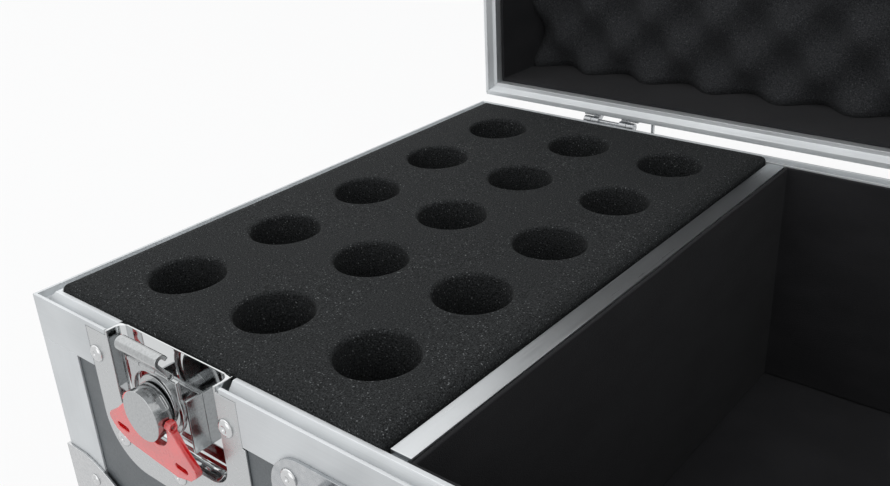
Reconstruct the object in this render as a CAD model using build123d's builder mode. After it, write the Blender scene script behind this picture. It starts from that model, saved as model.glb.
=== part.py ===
from build123d import *
from collections import namedtuple
from math import cos, radians, sin
import os

# A hard microphone case: laminate-faced plywood panels held in aluminium edge extrusions,
# with a hinged lid shown open, two recessed twist latches, a sprung handle and foam inside.
# The floor under the feet is Z = 0, the case faces -Y, and X = 0 is the middle of its width.

os.makedirs("parts", exist_ok=True)

# Case body
CASE_WIDTH = 470.0
CASE_DEPTH = 340.0
BASE_HEIGHT = 150.0
LID_HEIGHT = 80.0
FOOT_HEIGHT = 10.0
PANEL = 7.0
SKIN = 1.25
WALL = PANEL + 2 * SKIN
FIT = 0.3

# Edge extrusions: a groove round the base takes a tongue round the lid
VALANCE = 23.0
INNER_LEG = 10.0
LIP = 1.6
GROOVE_DRAFT = 0.2
GROOVE_DEPTH = 3.8
GROOVE_FLOOR = 2.6
RIDGE = 2.2
RAIL_SHEET = 1.4
RIM_GAP = 0.1
TONGUE_FIT = 0.4
EDGE_LEG = 28.0

# Ball corners
BALL_RADIUS = 16.0
BALL_CENTRE = 8.0
CORNER_SHEET = 1.5
CORNER_LEG = 40.0
CORNER_REACH = 68.0
CORNER_THROAT = 20.0
CORNER_RIVET_SIDE = 20.0
CORNER_RIVET_END = 54.0

# Feet
FOOT_RADIUS = 19.0
FOOT_TIP_RADIUS = 17.0
FOOT_SCREW_RADIUS = 6.0
FOOT_SCREW_DEPTH = 5.0
FOOT_X = 140.0
FOOT_Y = 85.0

# Hinges
HINGE_X = 136.0
PIN_SETBACK = 4.0
PIN_DROP = 0.5
PIN_RADIUS = 1.4
PIN_CLEARANCE = 0.05
KNUCKLE_RADIUS = 2.8
KNUCKLE_GAP = 0.2
KNUCKLE_ROOT = 1.0
KNUCKLE_FOOT = 6.0
HINGE_WINDOW = 7.5
LID_KNUCKLE = 5.2
BASE_KNUCKLE = 5.1
HINGE_NECK = 19.5
LEAF_SHEET = 1.3
LEAF_WIDTH = 51.0
LEAF_LENGTH = 45.0
LEAF_NECK_LENGTH = 9.0
LEAF_CORNER = 6.0
STOP_OFFSET = 29.5
STOP_WIDTH = 1.5
STOP_REACH = 9.5
STOP_HEIGHT = 2.2
STOP_RISE = 1.1
STOP_GAP = 0.05
LUG_WIDTH = 5.0
LUG_HEIGHT = 2.5
LUG_DROP = 3.0

# Rivets, and their places on a latch dish, keeper dish, guide, keeper plate and hinge leaf
RIVET_RADIUS = 4.2
RIVET_HEIGHT = 1.5
SMALL_RIVET_RADIUS = 3.2
SMALL_RIVET_HEIGHT = 1.1
DISH_RIVETS = [(39.6, -17.6), (-47.0, -15.0), (-39.7, -56.9), (39.7, -56.9), (0, -59.7)]
KEEPER_RIVETS = [(42.5, 17.6), (-44.0, 17.6), (-27.0, 40.0), (27.0, 40.0)]
GUIDE_RIVETS = [(-9.0, -35.0), (9.0, -35.0)]
KEEPER_PLATE_RIVETS = [(-6.0, 17.0), (6.0, 17.0)]
LEAF_RIVETS = [(-17.0, 18.0), (17.0, 18.0), (-17.0, 36.0), (17.0, 36.0)]

# Latches: x runs right from the latch centre, y up from the joint line, z out of the case
LATCH_SHIFT = 0.4
DISH_SHEET = 1.2
FLANGE_LEFT = 51.5
FLANGE_RIGHT = 49.5
FLANGE_STEP = 1.5
FLANGE_STEP_DROP = 24.0
FLANGE_TOP = 2.6
FLANGE_BOTTOM = 71.5
FLANGE_CORNER = 25.0
KEEPER_FLANGE_TOP = 49.0
KEEPER_FLANGE_CORNER = 18.0
POCKET_HALF = 35.4
POCKET_DROP = 50.5
KEEPER_POCKET_RISE = 30.0
POCKET_CORNER = 12.0
POCKET_DEPTH = 8.3
POCKET_SWEEP = 4.0
POCKET_OVERRUN = 8.0
RIM_NOTCH_RIGHT = 38.6
GUIDE_HALF = 15.0
GUIDE_TOP = 16.0
GUIDE_LENGTH = 25.5
GUIDE_SHEET = 1.2
GUIDE_WALL = 8.0

# Twist spindle and the yoke that its eccentric disc drives
SPINDLE_DROP = 21.9
SPINDLE_RADIUS = 4.0
SPINDLE_END = 9.4
ECCENTRIC_RADIUS = 11.5
ECCENTRIC_THROW = 3.0
YOKE_PLANE = 1.4
YOKE_SHEET = 2.0
YOKE_SIDE_FIT = 0.3
YOKE_END_FIT = 0.9
YOKE_RING = 2.4
YOKE_HEAD_HALF = 16.0
YOKE_HEAD_HEIGHT = 8.0
HEAD_RADIUS = 11.5
HEAD_PLANE = 4.0
HEAD_FACE = 12.0
HEAD_BOSS_RADIUS = 8.0
HEAD_TURN = -6.0
HEAD_SLOTS = 4
HEAD_SLOT_ANGLE = 45.0
HEAD_SLOT_WIDTH = 6.0
HEAD_SLOT_HEIGHT = 2.6
HEAD_SLOT_DEPTH = 1.6
AXLE_RADIUS = 1.1
AXLE_PLANE = 7.6
AXLE_REACH = 14.4

# Hook, hinged on the yoke
HOOK_PIN_RADIUS = 0.9
HOOK_PIN_HALF = 12.5
HOOK_PIN_DROP = 2.6
HOOK_PIN_PLANE = 3.4
HOOK_KNUCKLE = 1.7
YOKE_KNUCKLE_HALF = 5.0
HOOK_KNUCKLE_GAP = 0.4
HOOK_HALF = 13.5
HOOK_SHEET = 1.8
HOOK_POCKET = 2.6
HOOK_BEND = 8.2
HOOK_LIP_END = 6.9
HOOK_LEAN = 33.0

# Keeper in the lid
KEEPER_HALF = 12.0
KEEPER_SHEET = 1.4
KEEPER_WEB = 6.2
KEEPER_LIP_FACE = 0.45
KEEPER_LIP = 1.0
KEEPER_DROP = 7.4
KEEPER_LIP_TOP = 1.9
KEEPER_BEND = 4.5
KEEPER_SHOULDER = 9.0
KEEPER_TOP = 24.0

# Wing that turns the spindle
WING_SHEET = 3.3
WING_PLANE = 5.7
WING_NOTCH_HALF = 12.0
WING_NOTCH_DROP = 13.5
WING_NOTCH_CORNER = 7.9
WING_ARM_HALF = 15.6
WING_ARM_RADIUS = 2.2
WING_SHOULDER = (22.0, -9.0)
WING_TIP = (30.5, -16.0)
WING_HEEL = (25.0, -21.5)
WING_EDGE_HALF = 16.0
WING_DROP = 24.5
WING_TIP_RADIUS = 3.0
WING_SLOT_X = 19.5
WING_SLOT_DROP = 18.0
WING_SLOT_LENGTH = 8.0
WING_SLOT_WIDTH = 2.6

# Handle
HANDLE_LENGTH = 151.6
HANDLE_PLATE_HEIGHT = 34.0
HANDLE_DROP = 30.5
HANDLE_SHEET = 1.6
HANDLE_TRAY_LENGTH = 104.0
HANDLE_TRAY_HEIGHT = 28.0
HANDLE_TRAY_SHEET = 1.4
BAIL_RADIUS = 3.5
BAIL_PLANE = 7.0
BAIL_DROP = 24.0
BAIL_LEG_X = 39.0
BAIL_LEG_LENGTH = 42.0
BAIL_BEND = 7.0
BAIL_CLEARANCE = 0.1
LUG_X = 48.0
LUG_SHEET = 3.0
LUG_RADIUS = 5.0
GRIP_LENGTH = 60.0
GRIP_HALF_DEPTH = 5.0
GRIP_HALF_HEIGHT = 7.5
HANDLE_RIVET_X = 64.9
HANDLE_RIVET_Y = 7.5

# Inside the base: a divider, drop foam with holes at one end and a lined store at the other
DIVIDER_CAP_LEG = 20.0
DIVIDER_CAP_END = 2.0
DIVIDER_FIT = 0.1
FOAM_CROWN = 4.5
FOAM_DIVIDER_GAP = 2.0
HOLE_RADIUS = 17.5
HOLE_DEPTH = 125.0
HOLE_COLUMNS = 3
HOLE_ROWS = 5
HOLE_PITCH_X = 59.0
HOLE_PITCH_Y = 59.8
HOLE_EDGE = 42.8
HOLE_DIVIDER_EDGE = 37.3
HOLE_SHIFT = -2.35
LINING = 2.0
LINING_FIT = 0.1
LINING_DROP = 0.5
STORE_PAD = 6.0

# Inside the lid
LID_FOAM_FACE = 40.0
CRATE_COLUMNS = 10
CRATE_ROWS = 7
CRATE_HEIGHT = 14.0
CRATE_TAPER = 38.0
CRATE_FOOT = 2.0

# The latches sit in the stretch between the handle plate and the corner angles
LATCH_X = (HANDLE_LENGTH / 2 + CASE_WIDTH / 2 - EDGE_LEG) / 2 - LATCH_SHIFT

# The divider stands just past the bored foam
FOAM_WIDTH = HOLE_EDGE + HOLE_PITCH_X * (HOLE_COLUMNS - 1) + HOLE_DIVIDER_EDGE
FOAM_LEFT = WALL + FIT - CASE_WIDTH / 2
DIVIDER_X = FOAM_LEFT + FOAM_WIDTH + FOAM_DIVIDER_GAP + WALL / 2

# The open lid reaches back as far as the latch heads reach forward of this middle
BALL_PROUD = BALL_RADIUS - BALL_CENTRE
LID_SWING = PIN_DROP + RIM_GAP
FRONT_REACH = CASE_DEPTH / 2 + HEAD_FACE
REAR_REACH = CASE_DEPTH / 2 + PIN_SETBACK + LID_SWING + LID_HEIGHT + BALL_PROUD
BASE_Y = (FRONT_REACH - REAR_REACH) / 2
MATE = FOOT_HEIGHT + BASE_HEIGHT
PIN_Y = BASE_Y + CASE_DEPTH / 2 + PIN_SETBACK
PIN_Z = MATE - PIN_DROP

# Each half is drawn about the middle of its rim, as if the case were closed.
# The lid's frame is the same one swung back a quarter turn on the hinge pins.
BASE_FRAME = Plane(origin=(0, BASE_Y, MATE))
LID_FRAME = Plane(origin=(0, PIN_Y + LID_SWING, PIN_Z + PIN_Y - BASE_Y), x_dir=(1, 0, 0), z_dir=(0, 1, 0))

Side = namedtuple("Side", "inward length reach")
FRONT = Side(90, CASE_WIDTH, CASE_DEPTH / 2)
RIGHT = Side(180, CASE_DEPTH, CASE_WIDTH / 2)
REAR = Side(270, CASE_WIDTH, CASE_DEPTH / 2)
LEFT = Side(0, CASE_DEPTH, CASE_WIDTH / 2)
SIDES = {"front": FRONT, "right": RIGHT, "rear": REAR, "left": LEFT}


def within(frame, plane):
    """A plane that is given in a frame's own coordinates."""
    return Plane(frame.location * plane.location)


def save(part, name):
    """Label a finished piece and write it out."""
    part.label = name
    export_step(part, f"parts/{name}.step")


def side_plane(frame, side, facing):
    """A plane at the middle of a side's outer face: its wall, its section or its plan."""
    turn = radians(side.inward)
    inward = Vector(cos(turn), sin(turn), 0)
    along = Vector(sin(turn), -cos(turn), 0)
    axes = {
        "wall": (along, -inward),
        "section": (inward, along),
        "plan": (along, Vector(0, 0, 1)),
    }
    x_dir, z_dir = axes[facing]
    return within(frame, Plane(origin=-inward * side.reach, x_dir=x_dir, z_dir=z_dir))


def edge_extrusion(frame, side, outline):
    """An extrusion along one side of the case, mitred at both ends."""
    half = side.length / 2
    with BuildPart() as extrusion:
        with BuildSketch(side_plane(frame, side, "section")):
            with BuildLine():
                Polyline(*outline, close=True)
            make_face()
        extrude(amount=half, both=True)
        with BuildSketch(side_plane(frame, side, "plan").offset(-BASE_HEIGHT - EDGE_LEG)):
            with BuildLine():
                Polyline(
                    (-half, 0), (half, 0), (half - EDGE_LEG, EDGE_LEG), (EDGE_LEG - half, EDGE_LEG), close=True,
                )
            make_face()
        extrude(amount=2 * (BASE_HEIGHT + EDGE_LEG), mode=Mode.INTERSECT)
    return extrusion.part


def wall_panel(frame, side, length, low, high):
    """A plywood panel standing behind the skin of one side."""
    with BuildPart() as panel:
        with BuildSketch(side_plane(frame, side, "wall").offset(-SKIN)):
            with Locations((0, low)):
                Rectangle(length, high - low, align=(Align.CENTER, Align.MIN))
        extrude(amount=-PANEL)
    return panel.part


def deck_panel(frame, level):
    """A plywood panel lying across the whole case, its lower face at this level."""
    with BuildPart() as panel:
        with BuildSketch(frame.offset(level)):
            Rectangle(CASE_WIDTH - 2 * SKIN, CASE_DEPTH - 2 * SKIN)
        extrude(amount=PANEL)
    return panel.part


def corner_angles(frame, low, high):
    """The four upright angles that cover the corners between two levels."""
    with BuildPart() as angles:
        with BuildSketch(frame.offset(low)):
            Rectangle(CASE_WIDTH, CASE_DEPTH)
            Rectangle(CASE_WIDTH - 2 * SKIN, CASE_DEPTH - 2 * SKIN, mode=Mode.SUBTRACT)
            Rectangle(CASE_WIDTH, CASE_DEPTH - 2 * EDGE_LEG, mode=Mode.SUBTRACT)
            Rectangle(CASE_WIDTH - 2 * EDGE_LEG, CASE_DEPTH, mode=Mode.SUBTRACT)
        extrude(amount=high - low)
    return angles.part


def edge_angles(frame, level, into):
    """The four mitred angles round the floor or the top, whose legs point into the case."""
    outline = [
        (0, level), (EDGE_LEG, level), (EDGE_LEG, level + into * SKIN),
        (SKIN, level + into * SKIN), (SKIN, level + into * EDGE_LEG), (0, level + into * EDGE_LEG),
    ]
    with BuildPart() as angles:
        for side in SIDES.values():
            add(edge_extrusion(frame, side, outline))
    return angles.part


def corner_planes(frame, level, into):
    """The three faces that meet at one corner of a half, each with its z axis into the case."""
    x_dir = (-1, 0, 0) if into > 0 else (0, -1, 0)
    corner = within(frame, Plane(
        origin=(CASE_WIDTH / 2, CASE_DEPTH / 2, level), x_dir=x_dir, z_dir=(0, 0, into)
    ))
    return [
        corner,
        within(corner, Plane(origin=(0, 0, 0), x_dir=(0, 1, 0), z_dir=(1, 0, 0))),
        within(corner, Plane(origin=(0, 0, 0), x_dir=(0, 0, 1), z_dir=(0, 1, 0))),
    ]


def ball_corners(frame, level, into):
    """Four pressed corners: a ball on the very corner and a plate on each of its three faces."""
    faces = corner_planes(frame, level, into)
    with BuildPart() as corners:
        for face in faces:
            with BuildSketch(face):
                with Locations((-CORNER_SHEET, -CORNER_SHEET)):
                    Rectangle(CORNER_REACH, CORNER_LEG + CORNER_SHEET, align=Align.MIN)
                    Rectangle(CORNER_LEG + CORNER_SHEET, CORNER_REACH, align=Align.MIN)
                fillet(vertices().sort_by_distance((CORNER_LEG, CORNER_LEG))[0], radius=CORNER_THROAT)
                Circle(CORNER_REACH, mode=Mode.INTERSECT)
            extrude(amount=-CORNER_SHEET)
        with Locations(faces[0].location * Location((BALL_CENTRE, BALL_CENTRE, BALL_CENTRE))):
            Sphere(BALL_RADIUS)
        with Locations(faces[0]):
            Box(CORNER_REACH, CORNER_REACH, CORNER_REACH, align=Align.MIN, mode=Mode.SUBTRACT)
        mirror(about=within(frame, Plane.YZ))
        mirror(about=within(frame, Plane.XZ))
    return corners.part


# Edge extrusions of both halves
base_rail_outline = [
    (0, -VALANCE), (0, 0), (LIP, 0), (LIP + GROOVE_DRAFT, -GROOVE_DEPTH),
    (LIP + GROOVE_DRAFT + GROOVE_FLOOR, -GROOVE_DEPTH), (WALL - RIDGE, 0), (WALL, 0),
    (WALL, -INNER_LEG), (WALL - SKIN, -INNER_LEG), (WALL - SKIN, -GROOVE_DEPTH - RAIL_SHEET),
    (SKIN, -GROOVE_DEPTH - RAIL_SHEET), (SKIN, -VALANCE),
]
lid_rail_outline = [
    (0, VALANCE), (0, 0), (LIP + TONGUE_FIT, 0),
    (LIP + GROOVE_DRAFT + TONGUE_FIT, TONGUE_FIT - GROOVE_DEPTH),
    (LIP + GROOVE_DRAFT + GROOVE_FLOOR, TONGUE_FIT - GROOVE_DEPTH),
    (WALL - RIDGE - TONGUE_FIT, 0), (WALL, 0), (WALL, INNER_LEG), (WALL - SKIN, INNER_LEG),
    (WALL - SKIN, RAIL_SHEET), (SKIN, RAIL_SHEET), (SKIN, VALANCE),
]


def latch_plane(frame, centre):
    """The front face at one latch."""
    return within(side_plane(frame, FRONT, "wall"), Plane(origin=(centre, 0, 0)))


LATCHES = {"left": -LATCH_X, "right": LATCH_X}
base_latch_planes = [latch_plane(BASE_FRAME, centre) for centre in LATCHES.values()]
lid_latch_planes = [latch_plane(LID_FRAME, centre) for centre in LATCHES.values()]
POCKET_OUTER = POCKET_HALF + DISH_SHEET
NOTCH_LEFT = POCKET_OUTER + FIT


def front_rail(frame, outline, latch_planes, up):
    """A front extrusion, notched where each latch pocket crosses it."""
    with BuildPart() as front:
        add(edge_extrusion(frame, FRONT, outline))
        with BuildSketch(*latch_planes):
            with Locations((RIM_NOTCH_RIGHT, 0)):
                Rectangle(RIM_NOTCH_RIGHT + NOTCH_LEFT, 2 * VALANCE, align=(Align.MAX, Align.CENTER))
        extrude(amount=-WALL, mode=Mode.SUBTRACT)
        with BuildSketch(*latch_planes):
            with Locations((-FLANGE_LEFT - FIT, up * (FLANGE_TOP - FIT))):
                Rectangle(
                    FLANGE_LEFT + FLANGE_RIGHT - FLANGE_STEP + 2 * FIT, VALANCE,
                    align=(Align.MIN, Align.MIN if up > 0 else Align.MAX),
                )
        extrude(amount=-SKIN, mode=Mode.SUBTRACT)
    return front.part


save(front_rail(BASE_FRAME, base_rail_outline, base_latch_planes, -1), "base_front_rail")
save(front_rail(LID_FRAME, lid_rail_outline, lid_latch_planes, 1), "lid_front_rail")
for side_name in ("right", "rear", "left"):
    save(edge_extrusion(BASE_FRAME, SIDES[side_name], base_rail_outline), f"base_{side_name}_rail")
    save(edge_extrusion(LID_FRAME, SIDES[side_name], lid_rail_outline), f"lid_{side_name}_rail")

# Panels: the long walls run the full width and the short ones stand between them
FLOOR_TOP = SKIN + PANEL - BASE_HEIGHT
BASE_WALL_TOP = -GROOVE_DEPTH - RAIL_SHEET
LID_CEILING = LID_HEIGHT - SKIN - PANEL
LONG_WALL = CASE_WIDTH - 2 * SKIN
SHORT_WALL = CASE_DEPTH - 2 * (SKIN + PANEL)
WALL_LENGTHS = {"front": LONG_WALL, "rear": LONG_WALL, "left": SHORT_WALL, "right": SHORT_WALL}


def front_panel(frame, low, high, latch_planes, pocket_edge):
    """A front panel with a window for each latch pocket."""
    with BuildPart() as panel:
        add(wall_panel(frame, FRONT, LONG_WALL, low, high))
        with BuildSketch(*latch_planes):
            with Locations((0, pocket_edge / 2)):
                Rectangle(2 * (POCKET_OUTER + FIT), abs(pocket_edge) + 2 * FIT)
        extrude(amount=-WALL, mode=Mode.SUBTRACT)
    return panel.part


save(
    front_panel(BASE_FRAME, FLOOR_TOP, BASE_WALL_TOP, base_latch_planes, -POCKET_DROP - DISH_SHEET),
    "base_front_panel",
)
save(
    front_panel(LID_FRAME, RAIL_SHEET, LID_CEILING, lid_latch_planes, KEEPER_POCKET_RISE + DISH_SHEET),
    "lid_front_panel",
)
for side_name in ("right", "rear", "left"):
    side = SIDES[side_name]
    length = WALL_LENGTHS[side_name]
    save(wall_panel(BASE_FRAME, side, length, FLOOR_TOP, BASE_WALL_TOP), f"base_{side_name}_panel")
    save(wall_panel(LID_FRAME, side, length, RAIL_SHEET, LID_CEILING), f"lid_{side_name}_panel")
save(deck_panel(BASE_FRAME, SKIN - BASE_HEIGHT), "base_floor_panel")
save(deck_panel(LID_FRAME, LID_CEILING), "lid_top_panel")

# Angles and ball corners
save(corner_angles(BASE_FRAME, EDGE_LEG - BASE_HEIGHT, -VALANCE), "base_corner_angles")
save(corner_angles(LID_FRAME, VALANCE, LID_HEIGHT - EDGE_LEG), "lid_corner_angles")
save(edge_angles(BASE_FRAME, -BASE_HEIGHT, 1), "base_floor_angles")
save(edge_angles(LID_FRAME, LID_HEIGHT, -1), "lid_top_angles")
save(ball_corners(BASE_FRAME, -BASE_HEIGHT, 1), "base_ball_corners")
save(ball_corners(LID_FRAME, LID_HEIGHT, -1), "lid_ball_corners")

# Rubber feet, screwed to the floor panel through a recess
with BuildPart(BASE_FRAME.offset(-MATE)) as rubber_feet:
    with GridLocations(2 * FOOT_X, 2 * FOOT_Y, 2, 2):
        Cone(FOOT_TIP_RADIUS, FOOT_RADIUS, FOOT_HEIGHT + SKIN, align=(Align.CENTER, Align.CENTER, Align.MIN))
        Cylinder(
            FOOT_SCREW_RADIUS, FOOT_SCREW_DEPTH,
            align=(Align.CENTER, Align.CENTER, Align.MIN), mode=Mode.SUBTRACT,
        )
save(rubber_feet.part, "rubber_feet")


# Hinges: x runs along the pin from the hinge centre, the leaves lie flat on the rear faces
def hinge_planes(frame):
    """The rear face of one half at each hinge."""
    rear = side_plane(frame, REAR, "wall")
    return [within(rear, Plane(origin=(x, 0, 0))) for x in (-HINGE_X, HINGE_X)]


def hinge_leaf(up, knuckle_start, knuckle_length):
    """A leaf with its two knuckles, drawn on the rear face with the joint line at y = 0."""
    pin_level = -PIN_DROP
    if up > 0:
        pin_level = -PIN_DROP - RIM_GAP
    leaf_edge = pin_level + up * (PIN_DROP + KNUCKLE_ROOT)
    with BuildPart() as leaf:
        with BuildSketch():
            with Locations((0, leaf_edge)):
                Rectangle(
                    2 * HINGE_NECK, LEAF_LENGTH / 2,
                    align=(Align.CENTER, Align.MIN if up > 0 else Align.MAX),
                )
            with Locations((0, up * LEAF_LENGTH)):
                RectangleRounded(
                    LEAF_WIDTH, LEAF_LENGTH - LEAF_NECK_LENGTH, LEAF_CORNER,
                    align=(Align.CENTER, Align.MAX if up > 0 else Align.MIN),
                )
            Rectangle(2 * HINGE_WINDOW, 2 * LEAF_NECK_LENGTH, mode=Mode.SUBTRACT)
        extrude(amount=LEAF_SHEET)
        with BuildSketch():
            with Locations((0, up * (VALANCE + FIT))):
                Rectangle(
                    LEAF_WIDTH, LEAF_LENGTH - VALANCE - FIT - LEAF_CORNER,
                    align=(Align.CENTER, Align.MIN if up > 0 else Align.MAX),
                )
        extrude(amount=-SKIN)
        with BuildSketch(Plane.YZ.offset(knuckle_start)):
            with BuildLine():
                Polyline(
                    (leaf_edge, KNUCKLE_ROOT), (up * KNUCKLE_FOOT, KNUCKLE_ROOT),
                    (pin_level + up * KNUCKLE_RADIUS, PIN_SETBACK), (pin_level, PIN_SETBACK), close=True,
                )
            make_face()
            with Locations((pin_level, PIN_SETBACK)):
                Circle(KNUCKLE_RADIUS)
        extrude(amount=knuckle_length)
        with BuildSketch(Plane.YZ.offset(knuckle_start)):
            with Locations((pin_level, PIN_SETBACK)):
                Circle(PIN_RADIUS + PIN_CLEARANCE)
        extrude(amount=knuckle_length, mode=Mode.SUBTRACT)
        mirror(about=Plane.YZ)
    return leaf


LID_PIN_LEVEL = -PIN_DROP - RIM_GAP
STOP_FOOT = 16.0
hinge_side = Plane.YZ.offset(STOP_OFFSET)

# The lid leaf carries a stop finger on its inner side
with BuildPart() as lid_leaf:
    add(hinge_leaf(1, HINGE_WINDOW, LID_KNUCKLE).part)
    with BuildSketch():
        with Locations((HINGE_NECK, LEAF_NECK_LENGTH)):
            Rectangle(
                STOP_OFFSET + STOP_WIDTH / 2 - HINGE_NECK, STOP_FOOT - LEAF_NECK_LENGTH, align=Align.MIN,
            )
        with Locations((STOP_OFFSET, LID_PIN_LEVEL + STOP_RISE)):
            Rectangle(STOP_WIDTH, STOP_FOOT, align=(Align.CENTER, Align.MIN))
    extrude(amount=LEAF_SHEET)
    with BuildSketch(hinge_side):
        with Locations((LID_PIN_LEVEL + STOP_RISE, 0)):
            Rectangle(STOP_HEIGHT, STOP_REACH, align=Align.MIN)
    extrude(amount=STOP_WIDTH / 2, both=True)

# The base leaf carries the lug that the finger comes to rest against
with BuildPart() as base_leaf:
    add(hinge_leaf(-1, HINGE_WINDOW + LID_KNUCKLE + KNUCKLE_GAP, BASE_KNUCKLE).part)
    with BuildSketch():
        with Locations((HINGE_NECK, -LEAF_NECK_LENGTH)):
            Rectangle(
                STOP_OFFSET + LUG_WIDTH / 2 - HINGE_NECK, STOP_FOOT - LEAF_NECK_LENGTH,
                align=(Align.MIN, Align.MAX),
            )
        with Locations((STOP_OFFSET, -PIN_DROP - LUG_DROP)):
            Rectangle(LUG_WIDTH, STOP_FOOT - LUG_DROP, align=(Align.CENTER, Align.MAX))
    extrude(amount=LEAF_SHEET)
    with BuildSketch(hinge_side):
        with Locations((-PIN_DROP - LUG_DROP, 0)):
            Rectangle(LUG_HEIGHT, PIN_SETBACK + STOP_RISE - STOP_GAP, align=(Align.MAX, Align.MIN))
    extrude(amount=LUG_WIDTH / 2, both=True)

with BuildPart() as hinge_lid_leaves:
    with Locations(hinge_planes(LID_FRAME)[0]):
        add(lid_leaf.part)
    mirror(about=within(LID_FRAME, Plane.YZ))
save(hinge_lid_leaves.part, "hinge_lid_leaves")

with BuildPart() as hinge_base_leaves:
    with Locations(hinge_planes(BASE_FRAME)[0]):
        add(base_leaf.part)
    mirror(about=within(BASE_FRAME, Plane.YZ))
save(hinge_base_leaves.part, "hinge_base_leaves")

# One pin runs through each hinge and shows in the window between its knuckles
PIN_HALF = HINGE_WINDOW + LID_KNUCKLE + KNUCKLE_GAP + BASE_KNUCKLE
with BuildPart() as hinge_pins:
    with BuildSketch(Plane(origin=(0, PIN_Y, PIN_Z), x_dir=(0, 1, 0), z_dir=(1, 0, 0)).offset(HINGE_X)):
        Circle(PIN_RADIUS)
    extrude(amount=PIN_HALF, both=True)
    mirror(about=Plane.YZ)
save(hinge_pins.part, "hinge_pins")


# Latch dishes: one pressed sheet each, a flange on the panel round a pocket sunk through it
def latch_dish(up, flange_end, flange_corner, pocket_end):
    """The dish drawn at one latch, running up into the lid or down into the base."""
    side_align = Align.MIN if up > 0 else Align.MAX
    far_end = -1 if up > 0 else 0
    with BuildPart() as cavity:
        with BuildSketch():
            with Locations((0, -up * POCKET_OVERRUN)):
                Rectangle(2 * POCKET_HALF, pocket_end + POCKET_OVERRUN, align=(Align.CENTER, side_align))
            fillet(vertices().group_by(Axis.Y)[far_end], radius=POCKET_CORNER)
        extrude(amount=-POCKET_DEPTH)
        fillet(faces().sort_by(Axis.Z)[0].edges(), radius=POCKET_SWEEP)
    with BuildPart() as dish:
        with BuildSketch():
            with Locations((-FLANGE_LEFT, up * FLANGE_TOP)):
                Rectangle(
                    FLANGE_LEFT + FLANGE_RIGHT - FLANGE_STEP, FLANGE_STEP_DROP - FLANGE_TOP,
                    align=(Align.MIN, side_align),
                )
            with Locations((-FLANGE_LEFT, up * FLANGE_STEP_DROP)):
                Rectangle(
                    FLANGE_LEFT + FLANGE_RIGHT, flange_end - FLANGE_STEP_DROP,
                    align=(Align.MIN, side_align),
                )
            fillet(vertices().group_by(Axis.Y)[far_end], radius=flange_corner)
        extrude(amount=-DISH_SHEET)
        with BuildSketch():
            Rectangle(2 * POCKET_OUTER, pocket_end + DISH_SHEET, align=(Align.CENTER, side_align))
            fillet(vertices().group_by(Axis.Y)[far_end], radius=POCKET_CORNER + DISH_SHEET)
        extrude(amount=-POCKET_DEPTH - DISH_SHEET)
        add(cavity.part, mode=Mode.SUBTRACT)
    return dish.part


with BuildPart() as base_dish:
    add(latch_dish(-1, FLANGE_BOTTOM, FLANGE_CORNER, POCKET_DROP))
    with Locations((0, -SPINDLE_DROP, 0)):
        Hole(SPINDLE_RADIUS + PIN_CLEARANCE)
with BuildPart() as latch_dishes:
    with Locations(*base_latch_planes):
        add(base_dish.part)
save(latch_dishes.part, "latch_dishes")

lid_dish = latch_dish(1, KEEPER_FLANGE_TOP, KEEPER_FLANGE_CORNER, KEEPER_POCKET_RISE)
with BuildPart() as keeper_dishes:
    with Locations(*lid_latch_planes):
        add(lid_dish)
save(keeper_dishes.part, "keeper_dishes")

# A channel riveted into each base dish keeps the yoke square and bears the spindle
with BuildPart() as guide:
    with BuildSketch(Plane.XZ.offset(GUIDE_TOP)):
        with Locations((0, -POCKET_DEPTH)):
            Rectangle(2 * GUIDE_HALF, GUIDE_WALL, align=(Align.CENTER, Align.MIN))
        with Locations((0, GUIDE_SHEET - POCKET_DEPTH)):
            Rectangle(
                2 * (GUIDE_HALF - GUIDE_SHEET), GUIDE_WALL,
                align=(Align.CENTER, Align.MIN), mode=Mode.SUBTRACT,
            )
    extrude(amount=GUIDE_LENGTH)
    with Locations((0, -SPINDLE_DROP, 0)):
        Hole(SPINDLE_RADIUS + PIN_CLEARANCE)
with BuildPart() as latch_guides:
    with Locations(*base_latch_planes):
        add(guide.part)
save(latch_guides.part, "latch_guides")

# The keeper hangs from the lid dish below the joint line and ends in an upturned lip
with BuildPart() as keeper:
    with BuildSketch(Plane.YZ):
        with BuildLine():
            Polyline(
                (KEEPER_TOP, -POCKET_DEPTH), (KEEPER_TOP, KEEPER_SHEET - POCKET_DEPTH),
                (KEEPER_SHOULDER, KEEPER_SHEET - POCKET_DEPTH),
                (KEEPER_BEND, KEEPER_SHEET - KEEPER_WEB),
                (KEEPER_SHEET - KEEPER_DROP, KEEPER_SHEET - KEEPER_WEB),
                (KEEPER_SHEET - KEEPER_DROP, -KEEPER_LIP_FACE - KEEPER_LIP),
                (-KEEPER_LIP_TOP, -KEEPER_LIP_FACE - KEEPER_LIP),
                (-KEEPER_LIP_TOP, -KEEPER_LIP_FACE), (-KEEPER_DROP, -KEEPER_LIP_FACE),
                (-KEEPER_DROP, -KEEPER_WEB), (KEEPER_BEND, -KEEPER_WEB),
                (KEEPER_SHOULDER, -POCKET_DEPTH), close=True,
            )
        make_face()
    extrude(amount=KEEPER_HALF, both=True)
with BuildPart() as keeper_hooks:
    with Locations(*lid_latch_planes):
        add(keeper.part)
save(keeper_hooks.part, "keeper_hooks")

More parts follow.
